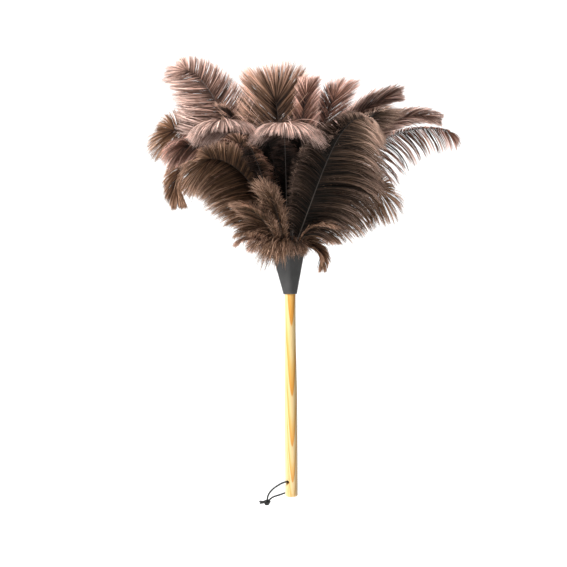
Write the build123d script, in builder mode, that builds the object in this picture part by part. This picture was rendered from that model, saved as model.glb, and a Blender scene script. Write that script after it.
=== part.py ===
from build123d import *
from collections import namedtuple
from math import cos, pi, radians, sin, tan
import os

# Ostrich feather duster. Millimetres, +Z up the handle, which stands upright with the head on top.
# The origin is on the handle's axis, in the middle of its cylindrical grip.

# Handle
GRIP_RADIUS = 10.0
HANDLE_END = -90
BARREL_TOP = HANDLE_END + 150
WAIST_Z = HANDLE_END + 252
WAIST_RADIUS = 8.5
SHOULDER_Z = HANDLE_END + 330
SHOULDER_RADIUS = 8.7
SPIGOT_RADIUS = 4.6
SPIGOT_BELOW_MOUTH = 29
SPIGOT_CHAMFER = 1
END_ROUNDING = 3.4

# Hanging hole, and the cord that is threaded through it and tied at both ends in one knot
HOLE_Z = HANDLE_END + 23.3
HOLE_RADIUS = 3.0
HOLE_ROUNDING = 0.4
HOLE_AZIMUTH = -131
CORD_DIAMETER = 2.8
CORD_ABOVE_HOLE = 1.4
LOOP_DROOP = 36
KNOT_DISTANCE = 63
KNOT_RADIUS = 5.8
TAIL_LENGTH = 15
TAIL_DIRECTIONS = [(-0.84, 0.5, 0.06), (-0.8, 0.58, -0.16)]

# The cord's route from the knot through the hole and back: distance from the hole towards the
# knot, distance out of the hole's front mouth, and distance above the loop's plane
CORD_ROUTE = [
    (61.5, 0.9, 1.5),
    (56, 3, 5.4),
    (46, 6, 7.6),
    (32, 9.4, 7.2),
    (17, 13.1, 4.5),
    (5, 15.3, 1.5),
    (0, 12.9, 0),
    (0, -12.9, 0),
    (5, -14.7, -1.6),
    (15, -13.8, -4.6),
    (26.5, -10.8, -5),
    (42, -7.4, -0.6),
    (54, -3.9, 3.4),
    (61.5, -0.9, 1.0),
]

# Cuff: a rounded square tube of stiff leatherette that flares up and leans a little to -X
CUFF_BOTTOM = HANDLE_END + 319.5
CUFF_WALL = 1.2
CUFF_BOTTOM_SIDE = 20.2
CUFF_BOTTOM_ROUNDING = 9.1
CUFF_TOP_SIDE = 39.6
CUFF_TOP_ROUNDING = 3.5
MOUTH = (-3.0, 0, HANDLE_END + 392)
CUFF_TOP = MOUTH[2] - 3

# Plumes. Their quills are tied round the spigot in rings, one inside the other.
QUILL_RADIUS = 1.0
VANE_EDGE = 0.25
STATIONS = 9

# A ring of quills: its radius at the mouth, the quills' lean in the cuff, how deep they reach
# below the mouth, and the sector that each plume's vane keeps to, in degrees. A narrow plume
# stands between those of the inner ring, and the short plumes between those of the outer ring.
Ring = namedtuple("Ring", "radius lean depth sector")
RINGS = {
    "core": Ring(3.8, 3, 20, 60),
    "inner": Ring(8.2, 6, 26, 33),
    "narrow": Ring(8.2, 6, 26, 10),
    "middle": Ring(13.0, 9, 34, 26),
    "outer": Ring(18.0, 13, 42, 23),
    "slender": Ring(18.0, 13, 42, 14),
    "short": Ring(18.0, 13, 36, 12),
}

# Wire ties, each round one ring of quills: how far below the mouth, and the turns
WIRE_RADIUS = 0.3
TIE_TURNS = 5
TIE_PITCH = 0.54
TIE_CLEARANCE = 0.08
TIE_DEPTHS = {"inner": 20, "middle": 28, "outer": 36}

# A plume's shaft leaves the mouth at azimuth, leaning out by lean degrees, and bends by bend more
# towards its tip, the later the higher power is. Its vane is at most width across.
Plume = namedtuple("Plume", "ring azimuth lean bend power length width")
PLUMES = {
    # Outer ring, which droops all round
    "plume_front_right": Plume("outer", -55, 33, 125, 5.0, 312, 110),
    "plume_front": Plume("outer", -92, 25, 100, 3.4, 282, 90),
    "plume_front_left": Plume("outer", -121, 27, 98, 3.4, 298, 90),
    "plume_left_front": Plume("outer", -149, 21, 93, 2.5, 216, 80),
    "plume_left_hanging": Plume("slender", 173, 10, 178, 2.2, 290, 60),
    "plume_left_back": Plume("outer", 154, 28, 95, 3.2, 315, 90),
    "plume_back_left": Plume("outer", 131, 34, 100, 2.0, 290, 100),
    "plume_back": Plume("outer", 100, 34, 90, 2.4, 290, 100),
    "plume_back_right": Plume("outer", 60, 34, 100, 2.2, 290, 100),
    "plume_far_right": Plume("outer", 18, 27, 75, 1.8, 344, 90),
    "plume_low_right": Plume("outer", -25, 30, 80, 1.6, 190, 90),
    # Middle ring
    "plume_mid_front": Plume("middle", -77, 19, 28, 2.2, 205, 80),
    "plume_mid_front_left": Plume("middle", -107, 20, 30, 2.2, 200, 80),
    "plume_mid_left_front": Plume("middle", -136, 21, 34, 2.2, 205, 80),
    "plume_mid_left": Plume("middle", -166, 19, 108, 2.4, 268, 80),
    "plume_tall_left": Plume("middle", 146, 27, 46, 8.0, 352, 100),
    "plume_mid_back_left": Plume("middle", 118, 24, 60, 2.0, 300, 90),
    "plume_mid_back": Plume("middle", 82, 24, 60, 2.0, 300, 90),
    "plume_mid_back_right": Plume("middle", 44, 26, 60, 2.0, 300, 90),
    "plume_mid_right": Plume("middle", 6, 28, 76, 3.0, 322, 90),
    "plume_mid_right_front": Plume("middle", -38, 24, 55, 2.2, 285, 90),
    # Inner ring, which stands highest
    "plume_top": Plume("inner", 102, 12, 20, 1.6, 313, 110),
    "plume_top_right": Plume("inner", 68.7, 14, 10, 1.5, 290, 60),
    "plume_upper_right": Plume("narrow", 46, 15, 24, 1.6, 292, 60),
    "plume_high_right": Plume("inner", 23.5, 20, 66, 2.6, 332, 80),
    "plume_inner_right": Plume("inner", -10, 17, 40, 2.0, 230, 80),
    "plume_inner_front": Plume("inner", -60, 14, 40, 2.0, 200, 80),
    "plume_inner_front_left": Plume("inner", -115, 13, 40, 2.0, 200, 80),
    "plume_inner_left": Plume("inner", -170, 9, 40, 2.0, 235, 80),
    "plume_inner_back_left": Plume("inner", 140, 15, 30, 2.0, 245, 80),
    # Core
    "plume_core_back": Plume("core", 80, 5, 12, 1.5, 200, 60),
    "plume_core_left": Plume("core", 170, 5, 14, 1.5, 190, 60),
    "plume_core_front": Plume("core", -100, 4, 14, 1.5, 170, 60),
    "plume_core_right": Plume("core", -10, 5, 14, 1.5, 180, 60),
    # Short plumes between the outer ones, which hide the cuff's mouth
    "short_plume_front": Plume("short", -107, 33, 21, 1.6, 105, 60),
    "short_plume_front_right": Plume("short", -74, 22, 14, 1.4, 165, 50),
    "short_plume_right_front": Plume("short", -40, 36, 60, 1.4, 76, 50),
    "short_plume_right": Plume("short", -4, 40, 140, 0.8, 50, 40),
    "short_plume_back_right": Plume("short", 39, 40, 80, 1.3, 75, 50),
    "short_plume_back": Plume("short", 80, 44, 80, 1.3, 100, 50),
    "short_plume_back_left": Plume("short", 116, 46, 90, 1.3, 110, 50),
    "short_plume_left_back": Plume("short", -174.7, 44, 70, 1.3, 58, 40),
    "short_plume_left": Plume("short", -162.5, 40, 60, 1.4, 62, 45),
    "short_plume_left_front": Plume("short", -135, 33, 31, 1.3, 88, 45),
}


def outward(azimuth):
    return Vector(cos(radians(azimuth)), sin(radians(azimuth)), 0)


def cuff_centre(z):
    """The middle of the cuff at height z: the handle's axis at its bottom, leaning to the mouth."""
    return Vector(MOUTH[0] * (z - CUFF_BOTTOM) / (MOUTH[2] - CUFF_BOTTOM), MOUTH[1], z)


def vane_share(f):
    """How wide a vane is at f of the shaft's length above the mouth, as a share of its width."""
    return sin(pi * min(1, 0.06 + 0.86 * f)) ** 0.7


def quill_ring_radius(ring, depth):
    return ring.radius - depth * tan(radians(ring.lean))


def plume_stations(plume):
    """Centre, direction and half width of a plume's sections, from the quill's end to the tip."""
    ring = RINGS[plume.ring]
    out = outward(plume.azimuth)
    here = Vector(*MOUTH) + out * ring.radius
    foot = cuff_centre(MOUTH[2] - ring.depth) + out * quill_ring_radius(ring, ring.depth)
    quill = (here - foot).normalized()
    stations = [(foot, quill, QUILL_RADIUS), (here - quill * 2, quill, QUILL_RADIUS)]
    step = plume.length / STATIONS
    for i in range(STATIONS):
        lean = radians(plume.lean + plume.bend * ((i + 0.5) / STATIONS) ** plume.power)
        here += (out * sin(lean) + Vector(0, 0, cos(lean))) * step
        f = (i + 1) / STATIONS
        at_end = radians(plume.lean + plume.bend * f**plume.power)
        along = out * sin(at_end) + Vector(0, 0, cos(at_end))
        reach = (here - Vector(*MOUTH)).dot(out) * tan(radians(ring.sector / 2))
        half = max(QUILL_RADIUS, min(plume.width / 2 * vane_share(f), reach))
        stations.append((here, along, half))
    return stations


def make_plume(plume):
    """A thin closed vane with a ridge for the shaft, and the bare quill below it."""
    across = outward(plume.azimuth + 90)
    with BuildPart() as part:
        for centre, along, half in plume_stations(plume):
            edge = VANE_EDGE if half > QUILL_RADIUS else QUILL_RADIUS / 2
            corners = [(half, edge), (0, QUILL_RADIUS), (-half, edge)]
            corners += [(-x, -y) for x, y in corners]
            with BuildSketch(Plane(origin=centre, x_dir=across, z_dir=along)):
                Polygon(*corners, align=None)
        loft(ruled=True)
    return part


def make_handle():
    """Turned handle: rounded end, cylindrical grip, waist, shoulder in the cuff, and spigot."""
    spigot_top = MOUTH[2] - SPIGOT_BELOW_MOUTH
    with BuildPart() as part:
        with BuildSketch(Plane.XZ):
            with BuildLine():
                end = Line((0, HANDLE_END), (GRIP_RADIUS - END_ROUNDING, HANDLE_END))
                rounding = JernArc(end @ 1, end % 1, END_ROUNDING, 90)
                barrel = Line(rounding @ 1, (GRIP_RADIUS, BARREL_TOP))
                neck = Spline(
                    barrel @ 1,
                    (WAIST_RADIUS, WAIST_Z),
                    (SHOULDER_RADIUS, SHOULDER_Z),
                    tangents=[(0, 1), (0, 1)],
                )
                Polyline(
                    neck @ 1,
                    (SPIGOT_RADIUS, SHOULDER_Z),
                    (SPIGOT_RADIUS, spigot_top),
                    (0, spigot_top),
                )
                Line((0, spigot_top), (0, HANDLE_END))
            make_face()
        revolve(axis=Axis.Z)
        chamfer(part.edges().group_by(Axis.Z)[-1], SPIGOT_CHAMFER)
        with BuildSketch(Plane(origin=(0, 0, HOLE_Z), z_dir=outward(HOLE_AZIMUTH))):
            Circle(HOLE_RADIUS)
        extrude(amount=2 * GRIP_RADIUS, both=True, mode=Mode.SUBTRACT)
        reach = 1.1 * HOLE_RADIUS
        mouths = part.edges().filter_by_position(Axis.Z, HOLE_Z - reach, HOLE_Z + reach)
        fillet(mouths.filter_by(GeomType.BSPLINE), HOLE_ROUNDING)
    return part


def cuff_section(z, side, rounding, inset):
    """The cuff's rounded square at height z, with one corner towards the front."""
    with BuildSketch(Plane(origin=cuff_centre(z), x_dir=outward(45), z_dir=(0, 0, 1))) as section:
        RectangleRounded(side - 2 * inset, side - 2 * inset, rounding - inset)
    return section.sketch.face()


def make_cuff():
    """Flared leatherette wrap, open at both ends."""
    with BuildPart() as part:
        for inset, mode in ((0, Mode.ADD), (CUFF_WALL, Mode.SUBTRACT)):
            bottom = cuff_section(CUFF_BOTTOM, CUFF_BOTTOM_SIDE, CUFF_BOTTOM_ROUNDING, inset)
            top = cuff_section(CUFF_TOP, CUFF_TOP_SIDE, CUFF_TOP_ROUNDING, inset)
            loft([bottom, top], ruled=True, mode=mode)
    return part


def make_tie(ring, depth):
    """Closed turns of wire that lie on each other round a ring of quills."""
    clear = QUILL_RADIUS + WIRE_RADIUS + TIE_CLEARANCE
    rises = [i * TIE_PITCH for i in range(TIE_TURNS)]
    turns = [(quill_ring_radius(ring, depth - rise) + clear, rise) for rise in rises]
    centre = cuff_centre(MOUTH[2] - depth)
    with BuildPart() as part:
        with BuildSketch(Plane(origin=centre, x_dir=(1, 0, 0), z_dir=(0, -1, 0))):
            with Locations(*turns):
                Circle(WIRE_RADIUS)
        revolve(axis=Axis(centre, (0, 0, 1)))
    return part


def loop_point(distance, out, above):
    """A point of the hanging loop, from its place relative to the cord's middle in the hole."""
    droop = radians(LOOP_DROOP)
    towards_knot = outward(HOLE_AZIMUTH - 90) * cos(droop) - Vector(0, 0, sin(droop))
    upward = towards_knot.cross(outward(HOLE_AZIMUTH))
    middle = Vector(0, 0, HOLE_Z + CORD_ABOVE_HOLE)
    return middle + towards_knot * distance + outward(HOLE_AZIMUTH) * out + upward * above


def cord_radii(points):
    """Each corner's radius: 0.45 of its shorter run, divided by the tangent of half the turn."""
    radii = []
    for before, corner, after in zip(points, points[1:], points[2:]):
        arriving, leaving = corner - before, after - corner
        half_turn = radians(arriving.get_angle(leaving)) / 2
        radii.append(0.45 * min(arriving.length, leaving.length) / tan(half_turn))
    return radii


def make_cord():
    """The loop of cord, straight through the hole, with both ends in the knot."""
    points = [loop_point(*place) for place in CORD_ROUTE]
    radii = cord_radii(points)
    with BuildPart() as part:
        with BuildLine() as path:
            route = FilletPolyline(*points, radius=radii)
        with BuildSketch(path.line ^ 0):
            Circle(CORD_DIAMETER / 2)
        sweep()
    print("cord radii", [round(radius, 1) for radius in radii])
    print("cord length", round(route.length, 1), "volume", round(part.part.volume, 1))
    print("section times length", round(pi * CORD_DIAMETER**2 / 4 * route.length, 1))
    return part


def make_knot():
    """The overhand knot's outer shape, with the cord's two short ends."""
    centre = loop_point(KNOT_DISTANCE, 0, 0)
    with BuildPart() as part:
        with Locations(centre):
            Sphere(KNOT_RADIUS)
        for end in TAIL_DIRECTIONS:
            with BuildSketch(Plane(origin=centre, z_dir=end)):
                Circle(CORD_DIAMETER / 2)
            extrude(amount=TAIL_LENGTH)
    return part


def save(part, label):
    part.part.label = label
    export_step(part.part, f"parts/{label}.step")


os.makedirs("parts", exist_ok=True)
save(make_handle(), "handle")
save(make_cuff(), "cuff")
for name, plume in PLUMES.items():
    save(make_plume(plume), name)
for name, depth in TIE_DEPTHS.items():
    save(make_tie(RINGS[name], depth), f"tie_{name}")
save(make_cord(), "hang_cord")
save(make_knot(), "cord_knot")
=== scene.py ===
from collections import namedtuple
from math import cos, pi, radians, sin

import bpy
import numpy as np
from mathutils import Matrix, Vector


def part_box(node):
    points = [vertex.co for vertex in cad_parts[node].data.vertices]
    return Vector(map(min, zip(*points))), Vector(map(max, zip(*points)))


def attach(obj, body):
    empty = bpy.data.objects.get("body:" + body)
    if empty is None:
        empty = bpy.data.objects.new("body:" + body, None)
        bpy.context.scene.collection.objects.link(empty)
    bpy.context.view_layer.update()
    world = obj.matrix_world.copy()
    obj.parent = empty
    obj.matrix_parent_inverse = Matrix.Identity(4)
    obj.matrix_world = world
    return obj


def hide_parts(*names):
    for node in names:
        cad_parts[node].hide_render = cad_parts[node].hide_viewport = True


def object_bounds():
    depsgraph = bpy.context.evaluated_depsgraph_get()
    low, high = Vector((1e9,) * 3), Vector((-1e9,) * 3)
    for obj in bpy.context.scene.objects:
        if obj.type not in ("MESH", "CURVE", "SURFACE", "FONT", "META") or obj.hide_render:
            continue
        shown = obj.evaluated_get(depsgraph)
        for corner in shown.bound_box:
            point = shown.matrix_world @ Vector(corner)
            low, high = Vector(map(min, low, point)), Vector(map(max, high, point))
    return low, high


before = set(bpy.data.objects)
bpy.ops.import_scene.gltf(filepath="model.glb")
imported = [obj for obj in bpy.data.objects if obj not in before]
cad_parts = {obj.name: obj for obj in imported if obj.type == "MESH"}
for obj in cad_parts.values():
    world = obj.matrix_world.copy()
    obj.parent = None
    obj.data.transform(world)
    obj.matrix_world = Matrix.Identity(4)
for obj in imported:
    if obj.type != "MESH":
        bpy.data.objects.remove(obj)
cad_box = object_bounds()

# Ostrich feather duster, in metres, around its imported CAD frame. The same plume table, ring sizes
# and cord route as the CAD source's, so that every feather grows along its own CAD shaft.

MOUTH = np.array([-0.003, 0, 0.302])
CUFF_BOTTOM_Z = 0.2295
QUILL_RADIUS = 0.001

# A ring of quills: its radius at the mouth, the quills' lean in the cuff, and how deep they reach
# below the mouth
Ring = namedtuple("Ring", "radius lean depth")
RINGS = {
    "core": Ring(0.0038, 3, 0.020),
    "inner": Ring(0.0082, 6, 0.026),
    "narrow": Ring(0.0082, 6, 0.026),
    "middle": Ring(0.0130, 9, 0.034),
    "outer": Ring(0.0180, 13, 0.042),
    "slender": Ring(0.0180, 13, 0.042),
    "short": Ring(0.0180, 13, 0.036),
}

# A shaft leaves the mouth at azimuth, leaning out by lean degrees, and bends by bend more towards
# its tip, the later the higher power is. Its length is in millimetres, as in the CAD source.
Plume = namedtuple("Plume", "ring azimuth lean bend power length")
PLUMES = {
    "plume_front_right": Plume("outer", -55, 33, 125, 5.0, 312),
    "plume_front": Plume("outer", -92, 25, 100, 3.4, 282),
    "plume_front_left": Plume("outer", -121, 27, 98, 3.4, 298),
    "plume_left_front": Plume("outer", -149, 21, 93, 2.5, 216),
    "plume_left_hanging": Plume("slender", 173, 10, 178, 2.2, 290),
    "plume_left_back": Plume("outer", 154, 28, 95, 3.2, 315),
    "plume_back_left": Plume("outer", 131, 34, 100, 2.0, 290),
    "plume_back": Plume("outer", 100, 34, 90, 2.4, 290),
    "plume_back_right": Plume("outer", 60, 34, 100, 2.2, 290),
    "plume_far_right": Plume("outer", 18, 27, 75, 1.8, 344),
    "plume_low_right": Plume("outer", -25, 30, 80, 1.6, 190),
    "plume_mid_front": Plume("middle", -77, 19, 28, 2.2, 205),
    "plume_mid_front_left": Plume("middle", -107, 20, 30, 2.2, 200),
    "plume_mid_left_front": Plume("middle", -136, 21, 34, 2.2, 205),
    "plume_mid_left": Plume("middle", -166, 19, 108, 2.4, 268),
    "plume_tall_left": Plume("middle", 146, 27, 46, 8.0, 352),
    "plume_mid_back_left": Plume("middle", 118, 24, 60, 2.0, 300),
    "plume_mid_back": Plume("middle", 82, 24, 60, 2.0, 300),
    "plume_mid_back_right": Plume("middle", 44, 26, 60, 2.0, 300),
    "plume_mid_right": Plume("middle", 6, 28, 76, 3.0, 322),
    "plume_mid_right_front": Plume("middle", -38, 24, 55, 2.2, 285),
    "plume_top": Plume("inner", 102, 12, 20, 1.6, 313),
    "plume_top_right": Plume("inner", 68.7, 14, 10, 1.5, 290),
    "plume_upper_right": Plume("narrow", 46, 15, 24, 1.6, 292),
    "plume_high_right": Plume("inner", 23.5, 20, 66, 2.6, 332),
    "plume_inner_right": Plume("inner", -10, 17, 40, 2.0, 230),
    "plume_inner_front": Plume("inner", -60, 14, 40, 2.0, 200),
    "plume_inner_front_left": Plume("inner", -115, 13, 40, 2.0, 200),
    "plume_inner_left": Plume("inner", -170, 9, 40, 2.0, 235),
    "plume_inner_back_left": Plume("inner", 140, 15, 30, 2.0, 245),
    "plume_core_back": Plume("core", 80, 5, 12, 1.5, 200),
    "plume_core_left": Plume("core", 170, 5, 14, 1.5, 190),
    "plume_core_front": Plume("core", -100, 4, 14, 1.5, 170),
    "plume_core_right": Plume("core", -10, 5, 14, 1.5, 180),
    "short_plume_front": Plume("short", -107, 33, 21, 1.6, 105),
    "short_plume_front_right": Plume("short", -74, 22, 14, 1.4, 165),
    "short_plume_right_front": Plume("short", -40, 36, 60, 1.4, 76),
    "short_plume_right": Plume("short", -4, 40, 140, 0.8, 50),
    "short_plume_back_right": Plume("short", 39, 40, 80, 1.3, 75),
    "short_plume_back": Plume("short", 80, 44, 80, 1.3, 100),
    "short_plume_back_left": Plume("short", 116, 46, 90, 1.3, 110),
    "short_plume_left_back": Plume("short", -174.7, 44, 70, 1.3, 58),
    "short_plume_left": Plume("short", -162.5, 40, 60, 1.4, 62),
    "short_plume_left_front": Plume("short", -135, 33, 31, 1.3, 88),
}

# How a plume's barbs grow. tone names the colours below. left and right are the longest barbs on
# each side in millimetres, as seen from outside the duster with the shaft upright. angle is where
# they leave the shaft, droop how far they hang, sweep how far they bend on towards the tip, and
# curl how far they bend under, 1 being about 45 degrees at their ends. roll turns the vane about
# its shaft. The barbs, so many on each side, grow from the shares bare to reach of the shaft's
# length. lock is how far they close up into locks, and frizz how much they wander. tip is how long
# the last barbs are, as a share of the longest, and pale how much lighter they are. With shade the
# whole left side has painted shade except near the tip. down is how long a short plume's down is.
Look = namedtuple(
    "Look",
    "tone left right angle droop sweep curl roll bare reach barbs lock frizz tip pale shade down",
    defaults=(0.8, 0.15, 0, 16),
)
BY_RING = {
    # The core and inner rings take the soot tone, painted shade for the duster's dark middle
    "core": Look("hollow_shade", 50, 50, 55, 0.2, 0.3, 0.1, 0, 0.1, 0.9, 240, 0.5, 0.08),
    "inner": Look("hollow_shade", 62, 62, 62, 0.3, 0.25, 0.15, 0, 0.1, 0.9, 400, 0.4, 0.08),
    "narrow": Look("umber", 48, 48, 55, 0.3, 0.35, 0.15, 0, 0.1, 0.9, 420, 0.4, 0.08),
    "middle": Look("umber", 66, 66, 68, 0.5, 0.15, 0.2, 0, 0.08, 0.9, 560, 0.4, 0.07),
    "outer": Look("umber", 68, 68, 70, 0.7, 0.1, 0.2, 0, 0.06, 0.9, 640, 0.4, 0.07),
    "slender": Look("rust", 36, 36, 30, 0.6, 0.5, 0.2, 90, 0.45, 1, 1000, 0.4, 0.07, 1),
    "short": Look("umber", 34, 34, 55, 0.9, 0.2, 0.2, 0, 0.0, 0.95, 340, 0.4, 0.3),
}
LOOKS = {
    "plume_tall_left": dict(
        tone="mauve", left=62, right=88, droop=0.1, sweep=0.55, roll=-59, angle=62, curl=0,
        barbs=1200, reach=1, bare=0.3, tip=0.5
    ),
    "plume_top": dict(
        tone="umber", left=112, right=100, droop=0.1, sweep=0.45, angle=46, barbs=1200, lock=0.3,
        reach=0.8
    ),
    "plume_inner_back_left": dict(
        tone="umber", left=80, right=80, droop=0.1, sweep=0.5, angle=40, barbs=700, lock=0.25,
        reach=0.85
    ),
    "plume_top_right": dict(tone="rose", left=50, right=50, angle=35, barbs=800, lock=0.3),
    "plume_upper_right": dict(tone="rose", left=66, right=72, angle=52, barbs=1000, lock=0.3),
    "plume_high_right": dict(
        tone="mauve", left=60, right=60, roll=-60, angle=27, sweep=0.9, barbs=1100, lock=0.4,
        tip=0.7
    ),
    "plume_mid_right": dict(
        tone="mauve", roll=-60, angle=27, droop=0.5, sweep=0.9, left=60, right=62, barbs=1100,
        lock=0.4, tip=0.5, reach=0.97
    ),
    "plume_far_right": dict(
        tone="rose", roll=80, droop=1.5, left=84, right=14, angle=60, lock=0.75, barbs=480,
        tip=0.4, reach=1
    ),
    "plume_left_back": dict(tone="rust", roll=-60, droop=0.4, left=62, right=76, barbs=1100, lock=0.3),
    "plume_back_left": dict(tone="rust"),
    "plume_mid_left": dict(tone="rose", droop=1.3, roll=30, left=66, right=66, barbs=900),
    "plume_left_front": dict(
        tone="fluff", left=84, right=46, roll=60, angle=64, droop=0.8, sweep=0, bare=0.05,
        lock=0.45, frizz=0.03, barbs=900
    ),
    "plume_front_left": dict(
        tone="mauve", left=78, right=60, angle=80, droop=1.9, bare=0.7, barbs=720, lock=0.5,
        frizz=0.1
    ),
    "plume_front": dict(
        tone="mauve", left=60, right=74, angle=80, droop=1.9, bare=0.7, barbs=720, lock=0.5,
        frizz=0.1
    ),
    # soot on these middle front plumes is painted shade too
    "plume_mid_front": dict(tone="hollow_shade", left=50, right=50, bare=0.6, barbs=300, droop=0.9),
    "plume_mid_front_left": dict(tone="hollow_shade", left=50, right=50, bare=0.6, barbs=300, droop=0.9),
    "plume_mid_left_front": dict(left=54, right=54, bare=0.5, barbs=400, droop=0.9),
    # plume_front_right's shade gives its left side painted shade except near the tip
    "plume_front_right": dict(
        tone="ash", left=54, right=112, roll=-40, droop=1.3, angle=60, sweep=0, lock=0.3,
        frizz=0.03, barbs=1300, shade=1, tip=0.4, pale=0.9
    ),
    "plume_low_right": dict(tone="fluff", left=50, right=76, roll=-60, droop=0.9, sweep=0, frizz=0.03),
    "plume_mid_right_front": dict(tone="ash", bare=0.5),
    "short_plume_right": dict(
        tone="rust", left=30, right=30, angle=24, lock=0.5, frizz=0.1, droop=1.6, roll=60
    ),
    "short_plume_right_front": dict(tone="fluff", left=34, right=34, angle=28, lock=0.5, frizz=0.1),
    "short_plume_front": dict(
        tone="fluff", left=50, right=34, angle=24, droop=0.2, sweep=0.4, barbs=560, frizz=0.6,
        lock=0.3, tip=1, down=20
    ),
    "short_plume_front_right": dict(
        tone="ash", left=22, right=22, angle=35, droop=0.1, sweep=0.3, frizz=0.1, barbs=260,
        bare=0.25
    ),
    "short_plume_left": dict(tone="fluff", left=34, right=30, angle=50, droop=1.4, down=30),
    "short_plume_left_front": dict(
        tone="fluff", left=50, right=46, angle=40, barbs=700, droop=0.6, frizz=0.25, lock=0.6,
        down=40
    ),
}

# Tones of the feathers: near the shaft, half way and at the barbs' tips
TONES = {
    # soot: near-black barbs for plumes deep in the middle, painted shade of the duster's dark hollow
    "hollow_shade": [(0.004, 0.003, 0.002), (0.014, 0.008, 0.006), (0.06, 0.035, 0.026)],
    "umber": [(0.016, 0.008, 0.005), (0.150, 0.080, 0.048), (0.55, 0.33, 0.24)],
    "rust": [(0.022, 0.009, 0.004), (0.140, 0.067, 0.035), (0.44, 0.26, 0.17)],
    "rose": [(0.030, 0.012, 0.008), (0.200, 0.095, 0.066), (0.62, 0.39, 0.32)],
    "ash": [(0.014, 0.009, 0.006), (0.110, 0.068, 0.046), (0.45, 0.30, 0.23)],
    "mauve": [(0.080, 0.041, 0.029), (0.310, 0.185, 0.145), (0.70, 0.50, 0.43)],
    "fluff": [(0.036, 0.018, 0.009), (0.150, 0.082, 0.046), (0.42, 0.26, 0.18)],
}
# Brightness of a plume's painted shade at its foot and painted light at its crown, how bright its
# darkest and lightest barbs are, and how far the tones shift along the barbs from lock to lock
FOOT_PAINTED_SHADE = 0.4
CROWN_PAINTED_LIGHT = 1.1
LOCK_SHADES = (0.55, 2.1)
LOCK_SHIFT = 0.45
LOCK_CENTRE = 0.22

# Steps along a shaft, and where along the vane its crown starts
SHAFT_STEPS = 60
CROWN = 0.85

# A barb's rings of vertices, its half width, and the sections of barbs and shafts in that measure
BARB_RINGS = 6
BARB_HALF_WIDTH = 0.00045
BARB_SECTION = [(1.0, -0.25), (-1.0, -0.25), (0.0, 0.5)]
SHAFT_SECTION = [(cos(pi * k / 3), sin(pi * k / 3)) for k in range(6)]

# Shares of barbs that stray, and how far headings differ between locks, barbs and strays
STRAY_SHARE = 0.04
LOCK_SPREAD = 0.12
BARB_SPREAD = 0.08
STRAY_SPREAD = 0.6

# Down at the short plumes' feet: its barbs, how many degrees it spreads to each side, how fast it
# falls, how far it wanders and how much its barbs' first headings differ
DOWN_BARBS = 500
DOWN_SPREAD = 26
DOWN_PULL = 0.42
DOWN_FRIZZ = 0.5
DOWN_TANGLE = 1.5
DOWN_HEIGHT = 0.012

# The cuff's flats and corners, how far the barbs stay off it, and the share of its radius within
# which a barb stays inside
CUFF_BOTTOM_HALF = 0.0101
CUFF_TOP_HALF = 0.0198
CUFF_BOTTOM_ROUNDING = 0.0091
CUFF_TOP_ROUNDING = 0.0035
CUFF_WALL = 0.0012
CUFF_TOP_Z = MOUTH[2] - 0.003
CUFF_CLEARANCE = 0.0012
INSIDE_SHARE = 0.7


def outward(azimuth):
    return np.array([cos(radians(azimuth)), sin(radians(azimuth)), 0.0])


def unit(v):
    return v / np.maximum(np.linalg.norm(v, axis=-1, keepdims=True), 1e-9)


def cuff_radius(azimuth, share, inset=0):
    """Radius of the cuff's outer surface, a rounded square with a corner at the front."""
    half = CUFF_BOTTOM_HALF + (CUFF_TOP_HALF - CUFF_BOTTOM_HALF) * share - inset
    rounding = CUFF_BOTTOM_ROUNDING + (CUFF_TOP_ROUNDING - CUFF_BOTTOM_ROUNDING) * share - inset
    turned = azimuth % (pi / 2) - pi / 4
    corner = half - rounding
    middle = corner * (np.cos(turned) + np.sin(np.abs(turned)))
    beyond = middle + np.sqrt(np.maximum(rounding**2 - 2 * corner**2 + middle**2, 0))
    return np.where(half * np.tan(np.abs(turned)) > corner, beyond, half / np.cos(turned))


# ---------------------------------------------------------------- strands of mesh


def sweep_sections(paths, axes, radii, section):
    """Vertices of tubes along paths. axes is each path's first width direction."""
    count, rings, _ = paths.shape
    along = unit(np.gradient(paths, axis=1))
    across = unit(axes)
    rows = []
    for k in range(rings):
        across = unit(across - np.sum(across * along[:, k], axis=1, keepdims=True) * along[:, k])
        through = np.cross(along[:, k], across)
        ring = [
            paths[:, k] + radii[:, k, None] * (a * across + b * through) for a, b in section
        ]
        rows.append(np.stack(ring, axis=1))
    return np.stack(rows, axis=1).reshape(count * rings * len(section), 3)


def tube_faces(count, rings, sides):
    """Quads along the tubes and a cap at each end, as tuples of vertex numbers."""
    grid = np.arange(count * rings * sides).reshape(count, rings, sides)
    turned = np.roll(grid, -1, axis=2)
    quads = np.stack([grid[:, :-1], turned[:, :-1], turned[:, 1:], grid[:, 1:]], axis=-1)
    caps = np.concatenate([grid[:, 0, ::-1], grid[:, -1]])
    return quads.reshape(-1, 4).tolist() + caps.tolist()


def tube_uvs(count, rings, sides, low, high):
    """Each tube unrolled in its own cell of the square between v = low and v = high."""
    columns = int(np.ceil(np.sqrt(count)))
    rows = int(np.ceil(count / columns))
    cell = np.array([1 / columns, (high - low) / rows])
    number = np.arange(count)
    corner = np.stack([number % columns, number // columns], axis=1) * cell + [0, low]
    side, ring = np.meshgrid(np.arange(sides), np.arange(rings - 1))
    steps = [(0, 0), (1, 0), (1, 1), (0, 1)]
    local = np.stack([np.stack([side + a, ring + b], axis=-1) for a, b in steps], axis=2)
    local = 0.05 + 0.8 * local / [sides, rings]
    quads = corner[:, None, None, None] + local[None] * cell
    turn = 2 * pi * np.arange(sides) / sides
    cap = 0.93 + 0.04 * np.stack([np.cos(turn), np.sin(turn)], axis=1)
    caps = corner[:, None] + cap[None] * cell
    return np.concatenate([quads.reshape(-1, 2), caps.reshape(-1, 2), caps.reshape(-1, 2)])


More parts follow.
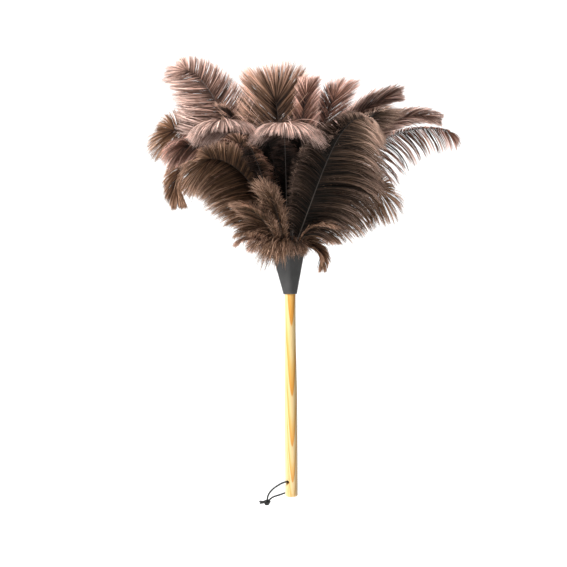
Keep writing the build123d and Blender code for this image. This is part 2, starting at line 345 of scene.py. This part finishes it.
def tube_mesh(name, strands, materials):
    """One mesh of several groups of tubes. A group is (paths, axes, radii, section, colours)."""
    vertices, faces, uvs, colours, slots = [], [], [], [], []
    for number, (paths, axes, radii, section, colour) in enumerate(strands):
        count, rings, _ = paths.shape
        first = sum(len(v) for v in vertices)
        vertices.append(sweep_sections(paths, axes, radii, section))
        made = tube_faces(count, rings, len(section))
        faces += [[first + v for v in face] for face in made]
        low, high = (0.0, 0.94) if number == 0 else (0.95, 1.0)
        uvs.append(tube_uvs(count, rings, len(section), low, high))
        colours.append(np.repeat(colour.reshape(-1, 4), len(section), axis=0))
        slots += [number] * len(made)
    mesh = bpy.data.meshes.new(name)
    mesh.from_pydata(np.concatenate(vertices).tolist(), [], faces)
    mesh.uv_layers.new(name="OFBake").data.foreach_set("uv", np.concatenate(uvs).ravel())
    attribute = mesh.color_attributes.new(name="strand", type="FLOAT_COLOR", domain="POINT")
    attribute.data.foreach_set("color", np.concatenate(colours).ravel())
    for material in materials:
        mesh.materials.append(material)
    mesh.polygons.foreach_set("material_index", slots)
    mesh.polygons.foreach_set("use_smooth", [True] * len(faces))
    mesh.update()
    piece = bpy.data.objects.new(name, mesh)
    bpy.context.scene.collection.objects.link(piece)
    return piece


# ---------------------------------------------------------------- plumes


def shaft_of(plume):
    """Points along a plume's shaft above the mouth, its directions and its upper normals."""
    out = outward(plume.azimuth)
    side = outward(plume.azimuth + 90)
    up = np.array([0.0, 0.0, 1.0])
    middles = (np.arange(SHAFT_STEPS) + 0.5) / SHAFT_STEPS
    lean = np.radians(plume.lean + plume.bend * middles**plume.power)
    steps = np.sin(lean)[:, None] * out + np.cos(lean)[:, None] * up
    steps *= plume.length / 1000 / SHAFT_STEPS
    start = MOUTH + out * RINGS[plume.ring].radius
    points = np.concatenate([[start], start + np.cumsum(steps, axis=0)])
    along = unit(np.gradient(points, axis=0))
    return points, along, np.cross(along, side)


def pick(values, f):
    """values, given evenly along the shaft, at the shares f of its length."""
    at = np.linspace(0, 1, len(values))
    return np.stack([np.interp(f, at, values[:, i]) for i in range(values.shape[1])], axis=1)


def lock_numbers(count, rng):
    """Which lock each barb belongs to, in order along the shaft."""
    sizes = rng.integers(2, 8, count)
    return np.repeat(np.arange(count), sizes)[:count]


def close_locks(paths, locks, grip):
    """Barbs lean towards the middle one of their lock, the more the nearer to their tips."""
    first = np.searchsorted(locks, locks, side="left")
    middle = np.minimum(first + np.bincount(locks)[locks] // 2, len(locks) - 1)
    share = np.linspace(0, 1, paths.shape[1]) ** 1.3
    return paths + (paths[middle] - paths) * grip[:, None, None] * share[None, :, None]


def grow_side(shaft, look, side, longest, rng):
    """Paths of one side's barbs, their width directions and their colours."""
    count = look.barbs
    along_vane = (np.arange(count) + rng.random(count)) / count
    f = look.bare + (look.reach - look.bare) * np.minimum(1, along_vane / CROWN)
    points, tangents, normals = shaft
    root, tangent, upper = pick(points, f), unit(pick(tangents, f)), unit(pick(normals, f))
    level = np.cross(upper, tangent)
    roll = radians(look.roll)
    sideways = side * (level * cos(roll) + upper * sin(roll))
    under = level * sin(roll) - upper * cos(roll)

    locks = lock_numbers(count, rng)
    by_lock = rng.random((count, 8))[locks]
    by_barb = rng.random((count, 8))
    stray = by_barb[:, 0] < STRAY_SHARE

    spread = np.interp(along_vane, [0, 0.15, 0.6, CROWN, 1], [0.85, 1.05, 1, 0.85, 0])
    angle = np.radians(look.angle * spread)
    shares = [0.45, 0.7, 1, 0.5 + look.tip / 2, look.tip, 0.85 * look.tip]
    length = np.interp(along_vane, [0, 0.1, 0.35, 0.6, CROWN, 1], shares)
    length *= longest / 1000 * (0.88 + 0.14 * by_lock[:, 1] + 0.12 * by_barb[:, 1])
    heading = np.cos(angle)[:, None] * tangent + np.sin(angle)[:, None] * sideways
    heading += LOCK_SPREAD * (by_lock[:, 2:5] - 0.5) + BARB_SPREAD * (by_barb[:, 2:5] - 0.5)
    heading[stray] += STRAY_SPREAD * (by_barb[stray, 5:8] - 0.5)
    heading = unit(heading)

    down = np.array([0.0, 0.0, -1.0])
    pull = look.droop * (0.7 + 0.6 * by_lock[:, 5, None]) * down
    pull = pull + look.sweep * tangent + look.curl * under
    steps = BARB_RINGS - 1
    path = [root]
    for k in range(1, BARB_RINGS):
        path.append(path[-1] + heading * (length / steps)[:, None])
        wander = look.frizz * (rng.random((count, 3)) - 0.5)
        heading = unit(heading + pull * 2 * k / (steps * BARB_RINGS) + wander)
    grip = look.lock * (0.6 + 0.6 * by_lock[:, 6]) * np.where(stray, 0.1, 1)
    paths = close_locks(np.stack(path, axis=1), locks, np.clip(grip, 0, 0.95))

    colour = np.ones((count, BARB_RINGS, 4))
    paler = look.pale * np.interp(along_vane, [0.6, 0.95], [0, 1])
    colour[:, :, 0] = np.linspace(0, 1, BARB_RINGS) + paler[:, None]
    colour[:, :, 1] = by_barb[:, 7, None]
    colour[:, :, 2] = by_lock[:, 7, None]
    # Alpha: painted shade low on the vane, rising to painted light at the crown; with shade, the left
    # side keeps painted shade up to near the tip
    lit = [0.65, 0.9] if side < 0 and look.shade else [0, 0.55]
    colour[:, :, 3] = np.interp(along_vane, lit, [0, 1])[:, None]
    return paths, tangent, colour


def grow_down(plume, look, rng):
    """The down at a short plume's foot, which falls outwards over the cuff's rim."""
    azimuth = np.radians(plume.azimuth + DOWN_SPREAD * (2 * rng.random(DOWN_BARBS) - 1))
    out = np.stack([np.cos(azimuth), np.sin(azimuth), np.zeros(DOWN_BARBS)], axis=1)
    ring = RINGS[plume.ring].radius
    start = MOUTH + out * ring * (0.7 + 0.4 * rng.random((DOWN_BARBS, 1)))
    start[:, 2] += DOWN_HEIGHT * rng.random(DOWN_BARBS) ** 2
    length = look.down / 1000 * (0.4 + 1.2 * rng.random(DOWN_BARBS))
    heading = unit(out + [0, 0, 0.35] + DOWN_TANGLE * (rng.random((DOWN_BARBS, 3)) - 0.5))
    path = [start]
    for _ in range(1, BARB_RINGS):
        path.append(path[-1] + heading * (length / (BARB_RINGS - 1))[:, None])
        wander = DOWN_FRIZZ * (rng.random((DOWN_BARBS, 3)) - 0.5)
        heading = unit(heading + [0, 0, -DOWN_PULL] + wander)
    colour = np.ones((DOWN_BARBS, BARB_RINGS, 4))
    colour[:, :, 0] = np.linspace(0.2, 1, BARB_RINGS)
    colour[:, :, 1] = rng.random((DOWN_BARBS, 1))
    colour[:, :, 2] = rng.random((DOWN_BARBS, 1))
    return np.stack(path, axis=1), np.cross(out, [0.0, 0.0, 1.0]), colour


def clear_of_cuff(paths):
    """The same paths with what hangs below the cuff's rim moved outside its wall."""
    z = paths[..., 2]
    share = np.clip((z - CUFF_BOTTOM_Z) / (CUFF_TOP_Z - CUFF_BOTTOM_Z), 0, 1)
    x = paths[..., 0] - MOUTH[0] * share
    y = paths[..., 1]
    distance = np.maximum(np.hypot(x, y), 1e-6)
    wall = cuff_radius(np.arctan2(y, x), share) + CUFF_CLEARANCE
    low = z < CUFF_TOP_Z + CUFF_CLEARANCE
    inside = low & (distance < INSIDE_SHARE * wall)
    push = np.where(low & ~inside & (distance < wall), wall / distance, 1)
    moved = paths.copy()
    moved[..., 0] = MOUTH[0] * share + x * push
    moved[..., 1] = y * push
    moved[..., 2] = np.where(inside, CUFF_TOP_Z + CUFF_CLEARANCE, z)
    return moved


def shaft_strand(plume, shaft, reach):
    """The shaft with its quill below the mouth, as one tapered tube."""
    ring = RINGS[plume.ring]
    points, _, _ = shaft
    out = outward(plume.azimuth)
    lean = radians(ring.lean)
    foot = points[0] - (out * sin(lean) + np.array([0, 0, cos(lean)])) * ring.depth
    path = np.concatenate([[foot], points[: int(SHAFT_STEPS * reach) + 1 : 3]])
    share = np.concatenate([[0], np.linspace(0, 1, len(path) - 1)])
    radius = QUILL_RADIUS * (1 - 0.82 * share**0.9)
    colour = np.ones((1, len(path), 4))
    colour[0, :, 0] = share
    axis = outward(plume.azimuth + 90)[None]
    return path[None], axis, radius[None], SHAFT_SECTION, colour


def make_plume(name, plume, materials, rng):
    look = BY_RING[plume.ring]._replace(**LOOKS.get(name, {}))
    shaft = shaft_of(plume)
    sides = [
        grow_side(shaft, look, side, longest, rng)
        for side, longest in ((1, look.right), (-1, look.left))
    ]
    if plume.ring == "short":
        sides.append(grow_down(plume, look, rng))
    paths, axes, colours = (np.concatenate([s[i] for s in sides]) for i in range(3))
    paths = clear_of_cuff(paths)
    share = np.linspace(0, 1, BARB_RINGS)
    taper = np.interp(share, [0, 0.15, 0.6, 0.9, 1], [0.7, 1, 0.9, 0.5, 0.12])
    radii = np.tile(BARB_HALF_WIDTH * taper, (len(paths), 1))
    barbs = (paths, axes, radii, BARB_SECTION, colours)
    strands = [barbs, shaft_strand(plume, shaft, look.reach)]
    piece = tube_mesh(f"{name}_feather", strands, [materials[look.tone], materials["shaft"]])
    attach(piece, "duster")
    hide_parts(name)
    return piece


# ---------------------------------------------------------------- materials


def new_material(name):
    material = bpy.data.materials.new(name)
    material.use_nodes = True
    tree = material.node_tree
    return material, tree.nodes, tree.links, tree.nodes["Principled BSDF"]


def ramp(nodes, links, value, stops):
    """A colour that follows value through stops."""
    node = nodes.new("ShaderNodeValToRGB")
    while len(node.color_ramp.elements) < len(stops):
        node.color_ramp.elements.new(0.5)
    for element, (place, colour) in zip(node.color_ramp.elements, stops):
        element.position = place
        element.color = (*colour, 1)
    links.new(value, node.inputs[0])
    return node.outputs[0]


def math_node(nodes, links, operation, first, second):
    """A math node on two values, each a number or another node's output."""
    node = nodes.new("ShaderNodeMath")
    node.operation = operation
    for place, value in enumerate((first, second)):
        if isinstance(value, (int, float)):
            node.inputs[place].default_value = value
        else:
            links.new(value, node.inputs[place])
    return node.outputs[0]


def mapped(nodes, links, value, low, high, start=0, end=1):
    """value between start and end becomes a value between low and high."""
    node = nodes.new("ShaderNodeMapRange")
    node.inputs["From Min"].default_value = start
    node.inputs["From Max"].default_value = end
    node.inputs["To Min"].default_value = low
    node.inputs["To Max"].default_value = high
    links.new(value, node.inputs["Value"])
    return node.outputs[0]


def shaded(nodes, links, colour, shade):
    node = nodes.new("ShaderNodeVectorMath")
    node.operation = "SCALE"
    links.new(colour, node.inputs[0])
    links.new(shade, node.inputs["Scale"])
    return node.outputs[0]


def strand_values(nodes, links):
    """The four values of the mesh's strand attribute."""
    strand = nodes.new("ShaderNodeAttribute")
    strand.attribute_name = "strand"
    parts = nodes.new("ShaderNodeSeparateColor")
    links.new(strand.outputs["Color"], parts.inputs[0])
    return *parts.outputs[:3], strand.outputs["Alpha"]


def plume_material(name, tones, foot_painted_shade):
    """Barbs that run from dark at the shaft to pale tips, each lock and barb a little different,
    under painted shade low on the plume and painted light at its crown.
    """
    material, nodes, links, shader = new_material(name)
    along, by_barb, by_lock, lit = strand_values(nodes, links)
    shift = math_node(nodes, links, "MULTIPLY", by_lock, LOCK_SHIFT)
    shifted = math_node(nodes, links, "ADD", shift, along)
    centred = math_node(nodes, links, "SUBTRACT", shifted, LOCK_CENTRE)
    colour = ramp(nodes, links, centred, [(0.1, tones[0]), (0.62, tones[1]), (1.0, tones[2])])
    mixed = math_node(nodes, links, "MULTIPLY", by_barb, by_lock)
    bright = mapped(nodes, links, mixed, *LOCK_SHADES)
    # Painted shade at the plume's foot and painted light at its crown, from the strand's alpha
    foot = mapped(nodes, links, lit, foot_painted_shade, CROWN_PAINTED_LIGHT)
    shade = math_node(nodes, links, "MULTIPLY", bright, foot)
    links.new(shaded(nodes, links, colour, shade), shader.inputs["Base Color"])
    shader.inputs["Roughness"].default_value = 0.7
    shader.inputs["Specular IOR Level"].default_value = 0.15
    return material


def shaft_material():
    """Horn that is pale at the quill and darkens towards the tip."""
    material, nodes, links, shader = new_material("plume_shaft")
    along, _, _, _ = strand_values(nodes, links)
    stops = [(0.0, (0.09, 0.07, 0.055)), (0.5, (0.03, 0.02, 0.015)), (1.0, (0.012, 0.008, 0.006))]
    links.new(ramp(nodes, links, along, stops), shader.inputs["Base Color"])
    shader.inputs["Roughness"].default_value = 0.35
    return material


def make_plumes():
    materials = {
        # Every tone but fluff gets painted shade at the plume's foot
        tone: plume_material(f"plume_{tone}", stops, 1.0 if tone == "fluff" else FOOT_PAINTED_SHADE)
        for tone, stops in TONES.items()
    }
    materials["shaft"] = shaft_material()
    for number, (name, plume) in enumerate(PLUMES.items()):
        make_plume(name, plume, materials, np.random.default_rng(100 + number))


# ---------------------------------------------------------------- handle, cuff, ties

# The wood's flame figures, in metres: tongues that point down the handle, right of its middle. Each
# is FLAME_GROWTH times as long as the one below it, counted from FLAME_ORIGIN below the grip's
# middle. Its lower edge rises by FLAME_CURVE times the square of the distance from its middle, up
# to FLAME_RISE, and FLAME_DRIFT is how far that middle wanders. FLAME_START sets where they begin.
FLAME_CENTRE = 0.0018
FLAME_DRIFT = 0.0016
FLAME_CURVE = 1300
FLAME_RISE = 0.09
FLAME_ORIGIN = 0.208
FLAME_GROWTH = 1.4
FLAME_START = 8.83

# Painted shade on the handle's right side, together with the darker heartwood there
HEARTWOOD_AND_SHADE_FROM = 0.004
HEARTWOOD_AND_SHADE_TO = 0.0098
HEARTWOOD_AND_SHADE = 0.42

# The wood's colours from one flame's lower edge up to the next
WOOD_STOPS = [
    (0.0, (0.78, 0.56, 0.26)),
    (0.035, (0.66, 0.27, 0.035)),
    (0.16, (0.72, 0.33, 0.05)),
    (0.42, (0.76, 0.46, 0.13)),
    (0.62, (0.79, 0.57, 0.25)),
    (1.0, (0.79, 0.58, 0.28)),
]


def mapped_noise(nodes, links, scale, detail, stretch=(1, 1, 1)):
    """Noise over the piece's own coordinates in metres."""
    place = nodes.new("ShaderNodeTexCoord")
    mapping = nodes.new("ShaderNodeMapping")
    mapping.inputs["Scale"].default_value = stretch
    noise = nodes.new("ShaderNodeTexNoise")
    noise.inputs["Scale"].default_value = scale
    noise.inputs["Detail"].default_value = detail
    links.new(place.outputs["Object"], mapping.inputs[0])
    links.new(mapping.outputs[0], noise.inputs["Vector"])
    return noise


def bump_from(nodes, links, height, shader, strength, distance):
    bump = nodes.new("ShaderNodeBump")
    bump.inputs["Strength"].default_value = strength
    bump.inputs["Distance"].default_value = distance
    links.new(height, bump.inputs["Height"])
    links.new(bump.outputs[0], shader.inputs["Normal"])


def flame_phase(nodes, links, axes):
    """What rises by one from each flame's lower edge to the next, along nested tongues."""
    drift = mapped_noise(nodes, links, 22, 2, (0.6, 0.6, 1)).outputs["Fac"]
    drift = math_node(nodes, links, "MULTIPLY", drift, FLAME_DRIFT)
    across = math_node(nodes, links, "SUBTRACT", axes.outputs[0], FLAME_CENTRE + FLAME_DRIFT / 2)
    across = math_node(nodes, links, "ADD", across, drift)
    rise = math_node(nodes, links, "MULTIPLY", across, across)
    rise = math_node(nodes, links, "MULTIPLY", rise, FLAME_CURVE)
    rise = math_node(nodes, links, "MINIMUM", rise, FLAME_RISE)
    height = math_node(nodes, links, "ADD", axes.outputs[2], FLAME_ORIGIN)
    height = math_node(nodes, links, "SUBTRACT", height, rise)
    phase = math_node(nodes, links, "LOGARITHM", height, FLAME_GROWTH)
    phase = math_node(nodes, links, "FRACT", math_node(nodes, links, "ADD", phase, FLAME_START), 0)
    beside = math_node(nodes, links, "GREATER_THAN", rise, 0.98 * FLAME_RISE)
    return math_node(nodes, links, "MAXIMUM", phase, beside)


def wood_material():
    """Clear-lacquered pale wood with orange flame figures, closer together towards the end, and
    painted shade with darker heartwood on its right side.
    """
    material, nodes, links, shader = new_material("lacquered_wood")
    place = nodes.new("ShaderNodeTexCoord")
    axes = nodes.new("ShaderNodeSeparateXYZ")
    links.new(place.outputs["Object"], axes.inputs[0])
    colour = ramp(nodes, links, flame_phase(nodes, links, axes), WOOD_STOPS)
    fibre = mapped_noise(nodes, links, 900, 3, (1, 1, 0.03)).outputs["Fac"]
    fine = mapped(nodes, links, fibre, 0.86, 1.1)
    # Painted shade, with darker heartwood, across the handle's right side
    heartwood_and_shade = mapped(nodes, links, axes.outputs[0], 1, HEARTWOOD_AND_SHADE, HEARTWOOD_AND_SHADE_FROM, HEARTWOOD_AND_SHADE_TO)
    shade = math_node(nodes, links, "MULTIPLY", fine, heartwood_and_shade)
    links.new(shaded(nodes, links, colour, shade), shader.inputs["Base Color"])
    links.new(mapped(nodes, links, fibre, 0.28, 0.42), shader.inputs["Roughness"])
    bump_from(nodes, links, fibre, shader, 0.15, 0.0002)
    shader.inputs["Coat Weight"].default_value = 0.6
    shader.inputs["Coat Roughness"].default_value = 0.12
    return material


def grain_material(name, colour, scale, roughness, strength):
    """Dark leatherette or thong: fine pebbled grain with slightly worn high spots."""
    material, nodes, links, shader = new_material(name)
    cells = nodes.new("ShaderNodeTexVoronoi")
    cells.inputs["Scale"].default_value = scale
    place = nodes.new("ShaderNodeTexCoord")
    links.new(place.outputs["Object"], cells.inputs["Vector"])
    patches = mapped_noise(nodes, links, 90, 4).outputs["Fac"]
    dark, light = (tuple(share * c for c in colour) for share in (0.75, 1.25))
    shade = ramp(nodes, links, patches, [(0.3, dark), (0.75, light)])
    links.new(shade, shader.inputs["Base Color"])
    rough = mapped(nodes, links, patches, roughness - 0.06, roughness + 0.1)
    links.new(rough, shader.inputs["Roughness"])
    bump_from(nodes, links, cells.outputs["Distance"], shader, strength, 0.0003)
    return material


def wire_material():
    """Drawn steel wire, lightly tarnished."""
    material, nodes, links, shader = new_material("tie_wire")
    tarnish = mapped_noise(nodes, links, 400, 4).outputs["Fac"]
    colour = ramp(nodes, links, tarnish, [(0.3, (0.35, 0.33, 0.30)), (0.7, (0.62, 0.61, 0.58))])
    links.new(colour, shader.inputs["Base Color"])
    links.new(mapped(nodes, links, tarnish, 0.25, 0.5), shader.inputs["Roughness"])
    shader.inputs["Metallic"].default_value = 1
    return material


# The wrap's mesh, where its lap starts and how wide it is in degrees, and how far it stands out
CUFF_SIDES = 240
LAP_AZIMUTH = 62
LAP_WIDTH = 34
LAP_HEIGHT = 0.0005

# Share of the height and inset into the wall of each row of the wrap's vertices: from the lining
# at the bottom round the edge, up the outside, and over the rim down into the lining
BOTTOM_ROWS = [(0.02, CUFF_WALL), (0.0, 0.8 * CUFF_WALL), (0.0, 0.25 * CUFF_WALL)]
OUTSIDE_ROWS = [(share, 0.0) for share in (0.004, 0.012, 0.06, 0.25, 0.5, 0.75, 0.94, 0.985, 1.0)]
TOP_ROWS = [(1.0, 0.6 * CUFF_WALL), (0.99, CUFF_WALL), (0.8, CUFF_WALL), (0.6, CUFF_WALL)]


def make_cuff():
    """Leatherette wrap with a lap down the back, a folded rim and a lining inside."""
    rows = BOTTOM_ROWS + OUTSIDE_ROWS + TOP_ROWS
    azimuth = 2 * pi * np.arange(CUFF_SIDES) / CUFF_SIDES
    vertices = []
    for share, inset in rows:
        from_lap = (np.degrees(azimuth) - LAP_AZIMUTH) % 360
        lap = np.where(from_lap < LAP_WIDTH, LAP_HEIGHT, 0) * (inset < CUFF_WALL / 2)
        radius = cuff_radius(azimuth, share, inset) + lap
        z = CUFF_BOTTOM_Z + (CUFF_TOP_Z - CUFF_BOTTOM_Z) * share
        centre_x = MOUTH[0] * (z - CUFF_BOTTOM_Z) / (MOUTH[2] - CUFF_BOTTOM_Z)
        x, y = centre_x + radius * np.cos(azimuth), radius * np.sin(azimuth)
        vertices.append(np.stack([x, y, np.full(CUFF_SIDES, z)], axis=1))
    grid = np.arange(len(rows) * CUFF_SIDES).reshape(len(rows), CUFF_SIDES)
    turned = np.roll(grid, -1, axis=1)
    quads = np.stack([grid[:-1], turned[:-1], turned[1:], grid[1:]], axis=-1).reshape(-1, 4)
    mesh = bpy.data.meshes.new("cuff_wrap")
    mesh.from_pydata(np.concatenate(vertices).tolist(), [], quads.tolist())
    mesh.polygons.foreach_set("use_smooth", [True] * len(mesh.polygons))
    leatherette = grain_material("cuff_leatherette", (0.036, 0.035, 0.034), 1400, 0.5, 0.35)
    mesh.materials.append(leatherette)
    piece = bpy.data.objects.new("cuff_wrap", mesh)
    bpy.context.scene.collection.objects.link(piece)
    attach(piece, "duster")
    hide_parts("cuff")


def dress_cad_nodes():
    """The handle and the wire ties keep their CAD shapes and get their materials."""
    wood, wire = wood_material(), wire_material()
    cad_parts["handle"].material_slots[0].material = wood
    for name in ("tie_inner", "tie_middle", "tie_outer"):
        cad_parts[name].material_slots[0].material = wire


# ---------------------------------------------------------------- hanging cord and its knot

HOLE_AZIMUTH = -131
LOOP_MIDDLE = np.array([0, 0, -0.0653])
LOOP_DROOP = 36
KNOT_DISTANCE = 0.063
CORD_DIAMETER = 0.0028

# How far from the hole's middle the cord stays straight
STRAIGHT_HALF = 0.0115

# The cord's route from the knot through the hole and back: distance from the hole towards the
# knot, distance out of the hole's front mouth, and distance above the loop's plane
CORD_ROUTE = [
    (0.0615, 0.0009, 0.0015),
    (0.056, 0.003, 0.0054),
    (0.046, 0.006, 0.0076),
    (0.032, 0.0094, 0.0072),
    (0.017, 0.0131, 0.0045),
    (0.005, 0.0153, 0.0015),
    (0.0, 0.0129, 0.0),
    (0.0, -0.0129, 0.0),
    (0.005, -0.0147, -0.0016),
    (0.015, -0.0138, -0.0046),
    (0.0265, -0.0108, -0.005),
    (0.042, -0.0074, -0.0006),
    (0.054, -0.0039, 0.0034),
    (0.0615, -0.0009, 0.001),
]


def loop_axes():
    """Directions towards the knot, out of the hole's front mouth and above the loop's plane."""
    droop = radians(LOOP_DROOP)
    towards_knot = outward(HOLE_AZIMUTH - 90) * cos(droop) - np.array([0, 0, sin(droop)])
    out = outward(HOLE_AZIMUTH)
    return np.array([towards_knot, out, np.cross(towards_knot, out)])


def loop_point(distance, out, above):
    return LOOP_MIDDLE + np.array([distance, out, above]) @ loop_axes()


def cord_curve(name, routes, diameter, material):
    """A round cord along smooth curves with these control points."""
    curve = bpy.data.curves.new(name, "CURVE")
    curve.dimensions = "3D"
    curve.bevel_depth = diameter / 2
    curve.bevel_resolution = 5
    curve.resolution_u = 12
    curve.use_fill_caps = True
    for route in routes:
        spline = curve.splines.new("NURBS")
        spline.points.add(len(route) - 1)
        for point, place in zip(spline.points, route):
            point.co = (*place, 1)
        spline.order_u = 3
        spline.use_endpoint_u = True
    curve.materials.append(material)
    piece = bpy.data.objects.new(name, curve)
    bpy.context.scene.collection.objects.link(piece)
    return piece


# The overhand knot: the size of its lobes, how far its two strands lie apart, where they start and
# end on the lobes' curve, how many points they have on it, and their tails
KNOT_SCALE = 0.00142
KNOT_OFFSETS = (-0.0006, 0.0006)
KNOT_GAP = 0.45
KNOT_POINTS = 16
TAILS = [(-0.84, 0.5, 0.06), (-0.8, 0.58, -0.16)]
TAIL_LENGTH = 0.015


def knot_route(offset, tail, leg):
    """One strand of the overhand knot: its tail, three lobes round, and on into the loop's leg."""
    centre = loop_point(KNOT_DISTANCE, 0, 0)
    route = [centre + np.array(tail) * TAIL_LENGTH * share for share in (1.0, 0.75, 0.5)]
    for t in np.linspace(pi + KNOT_GAP, 3 * pi - KNOT_GAP, KNOT_POINTS):
        towards = sin(t) + 2 * sin(2 * t)
        above = -(cos(t) - 2 * cos(2 * t))
        out = -1.5 * sin(3 * t)
        place = np.array([-towards, out, above]) * KNOT_SCALE + [0, offset, 0]
        route.append(centre + place @ loop_axes())
    return route + [leg]


def make_cord():
    material = grain_material("cord_thong", (0.006, 0.006, 0.006), 2600, 0.5, 0.15)
    middle = len(CORD_ROUTE) // 2
    straight = [(0.0, STRAIGHT_HALF, 0.0), (0.0, -STRAIGHT_HALF, 0.0)]
    places = CORD_ROUTE[:middle] + straight + CORD_ROUTE[middle:]
    route = [loop_point(*place) for place in places]
    cord = cord_curve("hanging_cord", [route], CORD_DIAMETER, material)
    legs = [loop_point(*CORD_ROUTE[0]), loop_point(*CORD_ROUTE[-1])]
    routes = [knot_route(*strand) for strand in zip(KNOT_OFFSETS, TAILS, legs)]
    knot = cord_curve("overhand_knot", routes, CORD_DIAMETER, material)
    for piece, node in ((cord, "hang_cord"), (knot, "cord_knot")):
        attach(piece, "loop")
        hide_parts(node)


# ---------------------------------------------------------------- stage, light and camera


# The sweep: how far its floor is below the duster, where the floor starts and ends, how far it
# reaches to each side, the radius and steps of its bend, and how high the backdrop is
FLOOR_BELOW = 0.12
FLOOR_FRONT = -4.0
FLOOR_BACK = 2.0
SWEEP_HALF = 6
SWEEP_BEND = 1.0
SWEEP_STEPS = 12
BACKDROP_TOP = 5.0


def make_stage():
    """A white sweep: the floor below the duster, curving up into the backdrop."""
    floor_z = cad_box[0].z - FLOOR_BELOW
    profile = [(FLOOR_FRONT, floor_z), (FLOOR_BACK, floor_z)]
    for turn in np.linspace(0, pi / 2, SWEEP_STEPS + 1)[1:]:
        y = FLOOR_BACK + SWEEP_BEND * sin(turn)
        profile.append((y, floor_z + SWEEP_BEND * (1 - cos(turn))))
    profile.append((FLOOR_BACK + SWEEP_BEND, BACKDROP_TOP))
    vertices = [(x, y, z) for x in (-SWEEP_HALF, SWEEP_HALF) for y, z in profile]
    n = len(profile)
    faces = [(i, i + 1, n + i + 1, n + i) for i in range(n - 1)]
    mesh = bpy.data.meshes.new("sweep")
    mesh.from_pydata(vertices, [], faces)
    mesh.polygons.foreach_set("use_smooth", [True] * len(faces))
    material, _, _, shader = new_material("sweep_paper")
    shader.inputs["Base Color"].default_value = (0.92, 0.92, 0.92, 1)
    shader.inputs["Roughness"].default_value = 0.9
    shader.inputs["Emission Color"].default_value = (1, 1, 1, 1)
    shader.inputs["Emission Strength"].default_value = 0.1
    mesh.materials.append(material)
    sweep = bpy.data.objects.new("sweep", mesh)
    bpy.context.scene.collection.objects.link(sweep)


def make_light(name, place, size, power, target):
    data = bpy.data.lights.new(name, "AREA")
    data.size = size
    data.energy = power
    light = bpy.data.objects.new(name, data)
    light.location = place
    light.rotation_euler = (Vector(target) - Vector(place)).to_track_quat("-Z", "Y").to_euler()
    bpy.context.scene.collection.objects.link(light)


def make_lights():
    centre = (cad_box[0] + cad_box[1]) / 2
    make_light("key", (-2.2, -1.6, 1.9), 0.9, 145, centre)
    make_light("top", (0.3, -0.2, 2.9), 1.2, 70, centre)
    make_light("back", (1.2, 1.2, 2.0), 1.6, 30, centre)
    world = bpy.data.worlds.new("studio")
    world.use_nodes = True
    world.node_tree.nodes["Background"].inputs[0].default_value = (1, 1, 1, 1)
    world.node_tree.nodes["Background"].inputs[1].default_value = 0.05
    bpy.context.scene.world = world
    bpy.context.scene.view_settings.view_transform = "Standard"


# The camera, level and in front of the duster: its place from the handle's axis and above the
# handle's end, its lens in millimetres and its roll in degrees
CAMERA_X = -0.0104
CAMERA_Y = -3.0
CAMERA_ABOVE_END = 0.3363
CAMERA_LENS = 120.8
CAMERA_SENSOR = 36
CAMERA_ROLL = -0.4


def make_camera():
    handle_low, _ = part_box("handle")
    data = bpy.data.cameras.new("camera")
    data.lens = CAMERA_LENS
    data.sensor_width = CAMERA_SENSOR
    camera = bpy.data.objects.new("camera", data)
    place = Vector((CAMERA_X, CAMERA_Y, handle_low.z + CAMERA_ABOVE_END))
    level = Matrix.Rotation(radians(90), 4, "X")
    turned = level @ Matrix.Rotation(radians(CAMERA_ROLL), 4, "Z")
    camera.matrix_world = Matrix.Translation(place) @ turned
    bpy.context.scene.collection.objects.link(camera)
    bpy.context.scene.camera = camera


make_cord()
dress_cad_nodes()
make_cuff()
make_plumes()
make_stage()
make_lights()
make_camera()
